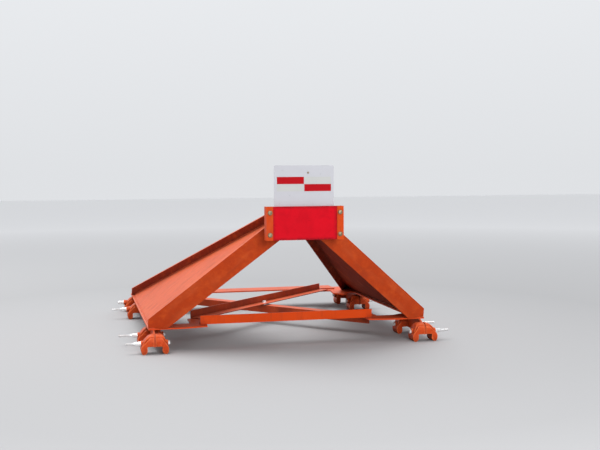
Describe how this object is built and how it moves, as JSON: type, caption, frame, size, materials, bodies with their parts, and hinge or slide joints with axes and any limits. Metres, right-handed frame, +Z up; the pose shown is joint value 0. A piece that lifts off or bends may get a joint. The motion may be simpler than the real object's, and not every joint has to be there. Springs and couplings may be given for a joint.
{
  "type": "railway buffer stop",
  "caption": "Railway buffer stop: two inclined plate legs meeting at a red strike board under a sign plate, braced at the base and clamped to both rails.",
  "frame": {"origin": "on the track centre line, at the level of the clamp jaws' toes, under the middle of the part's box; the running surface of the rails is at Z = 0.039", "axes": "+Z up; +Y along the track away from the train, from the strike board to the rear feet; +X across the track, to the right for someone facing the strike board"},
  "size_m": [1.855, 1.948, 0.987],
  "materials": {
    "orange_paint": "semi-gloss, weathered",
    "cast_orange": "painted casting",
    "zinc_steel": "bright zinc",
    "yellow_zinc_steel": "yellow passivated zinc",
    "red_board": "painted, satin",
    "sign_white": "painted white, satin",
    "tape_red": "reflective sheet",
    "tape_white": "reflective sheet"
  },
  "bodies": {
    "root": {"cross_bolt": "zinc_steel", "cross_packing_and_nut": "zinc_steel", "front_beam": "orange_paint", "head_back_plate": "orange_paint", "head_bolts_and_nuts": "yellow_zinc_steel", "head_ribs": "orange_paint", "impact_board": "red_board", "left_clamp_bolts": "zinc_steel", "left_clamp_nuts": "zinc_steel", "left_edge_angle": "orange_paint", "left_front_fin": "orange_paint", "left_front_flange": "orange_paint", "left_front_gusset": "orange_paint", "left_front_inner_jaws": "cast_orange", "left_front_outer_jaws": "cast_orange", "left_rear_fin": "orange_paint", "left_rear_flange": "orange_paint", "left_rear_gusset": "orange_paint", "left_rear_inner_jaws": "cast_orange", "left_rear_outer_jaws": "cast_orange", "left_sole_plate": "orange_paint", "left_web_plate": "orange_paint", "lower_brace": "orange_paint", "rear_beam": "orange_paint", "red_tape": "tape_red", "right_clamp_bolts": "zinc_steel", "right_clamp_nuts": "zinc_steel", "right_edge_angle": "orange_paint", "right_front_fin": "orange_paint", "right_front_flange": "orange_paint", "right_front_gusset": "orange_paint", "right_front_inner_jaws": "cast_orange", "right_front_outer_jaws": "cast_orange", "right_rear_fin": "orange_paint", "right_rear_flange": "orange_paint", "right_rear_gusset": "orange_paint", "right_rear_inner_jaws": "cast_orange", "right_rear_outer_jaws": "cast_orange", "right_sole_plate": "orange_paint", "right_web_plate": "orange_paint", "sign_plate": "sign_white", "upper_brace": "orange_paint", "white_tape": "tape_white"}
  },
  "joints": []
}
